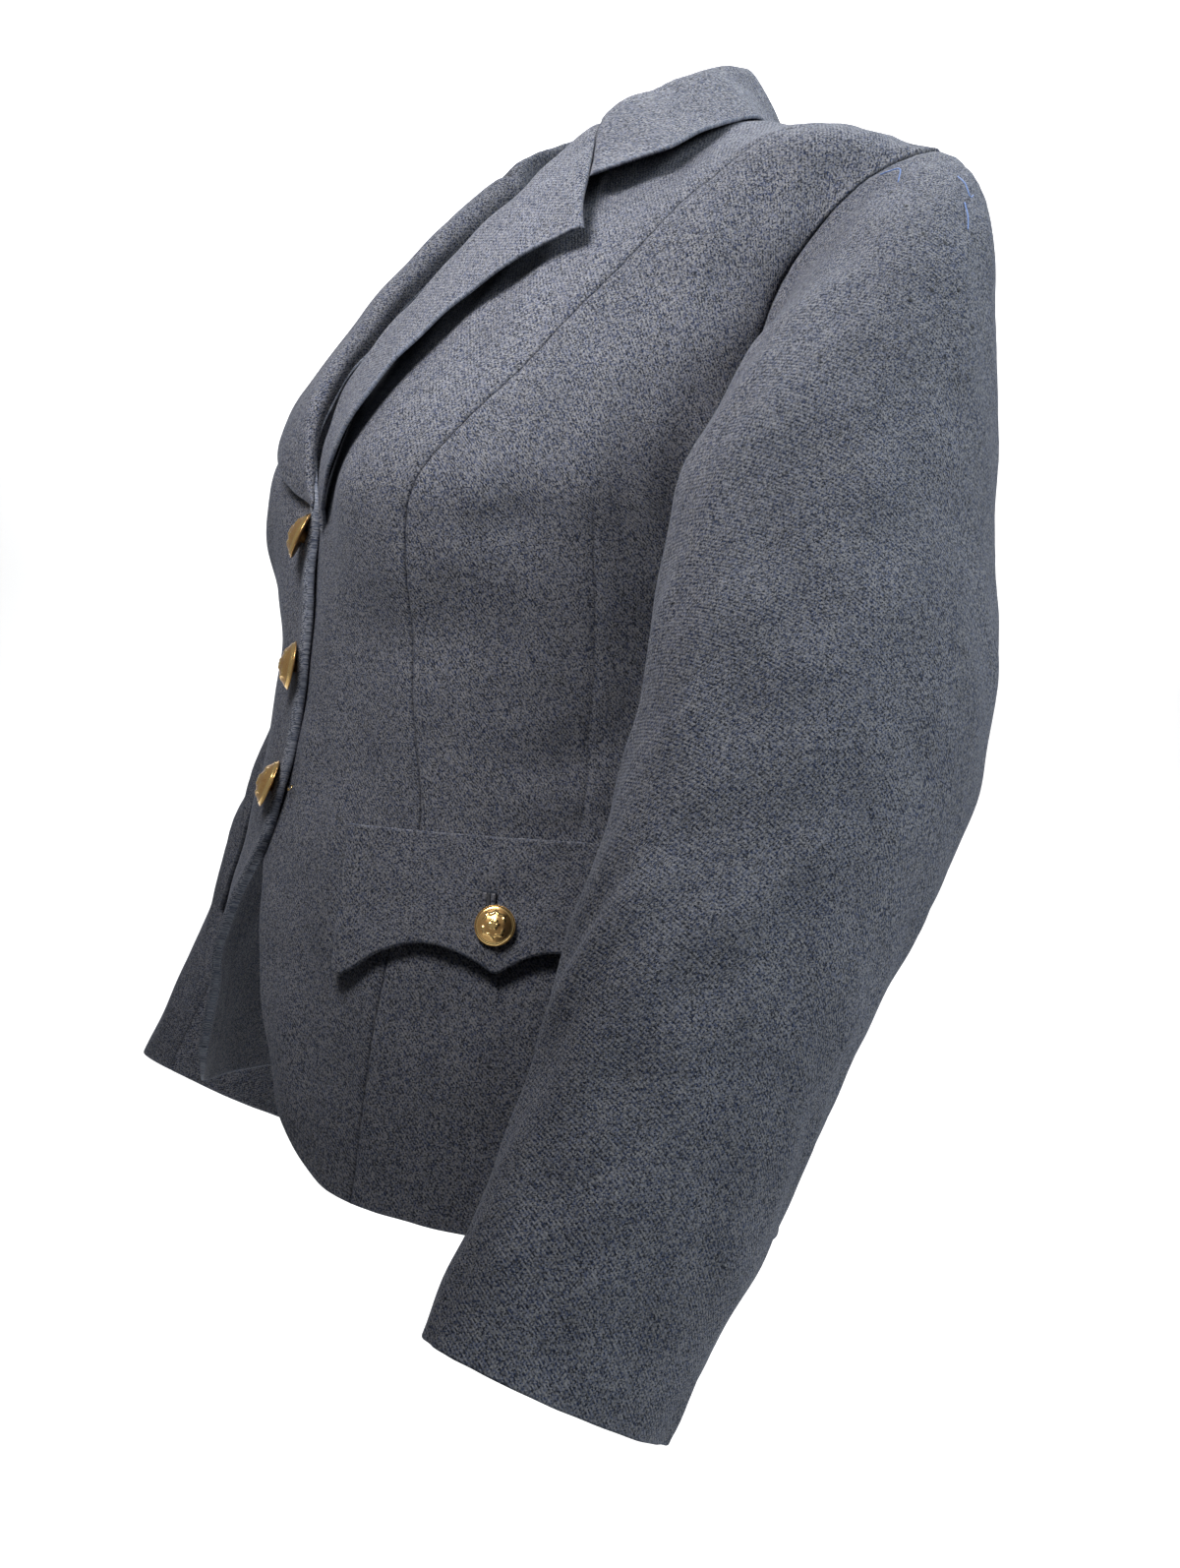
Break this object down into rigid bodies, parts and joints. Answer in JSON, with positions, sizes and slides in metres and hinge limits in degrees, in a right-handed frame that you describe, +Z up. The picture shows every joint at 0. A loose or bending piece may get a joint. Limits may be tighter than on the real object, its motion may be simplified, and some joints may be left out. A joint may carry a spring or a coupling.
{
  "type": "uniform jacket",
  "caption": "Single-breasted uniform jacket, closed and worn in shape, with notched lapels, turned-down collar, princess seams, scalloped pocket flaps, set-in sleeves and gilt buttons",
  "frame": {"origin": "middle of the neck opening at the height of the collar's foot, where the garment is held when worn or hung", "axes": "+Z up along the body, +X toward the wearer's left, the front faces -Y"},
  "size_m": [0.5994, 0.3124, 0.671],
  "materials": {
    "jacket_cloth": "matte blue-grey twill wool",
    "gilt_brass": "polished gilt"
  },
  "bodies": {
    "root": {"front_left": "jacket_cloth", "front_right": "jacket_cloth", "side_front_left": "jacket_cloth", "side_front_right": "jacket_cloth", "back_left": "jacket_cloth", "back_right": "jacket_cloth", "top_sleeve_left": "jacket_cloth", "top_sleeve_right": "jacket_cloth", "under_sleeve_left": "jacket_cloth", "under_sleeve_right": "jacket_cloth", "lapel_left": "jacket_cloth", "lapel_right": "jacket_cloth", "collar": "jacket_cloth", "pocket_flap_left": "jacket_cloth", "pocket_flap_right": "jacket_cloth", "front_button_1": "gilt_brass", "front_button_2": "gilt_brass", "front_button_3": "gilt_brass", "pocket_button_left": "gilt_brass", "pocket_button_right": "gilt_brass"}
  },
  "joints": []
}
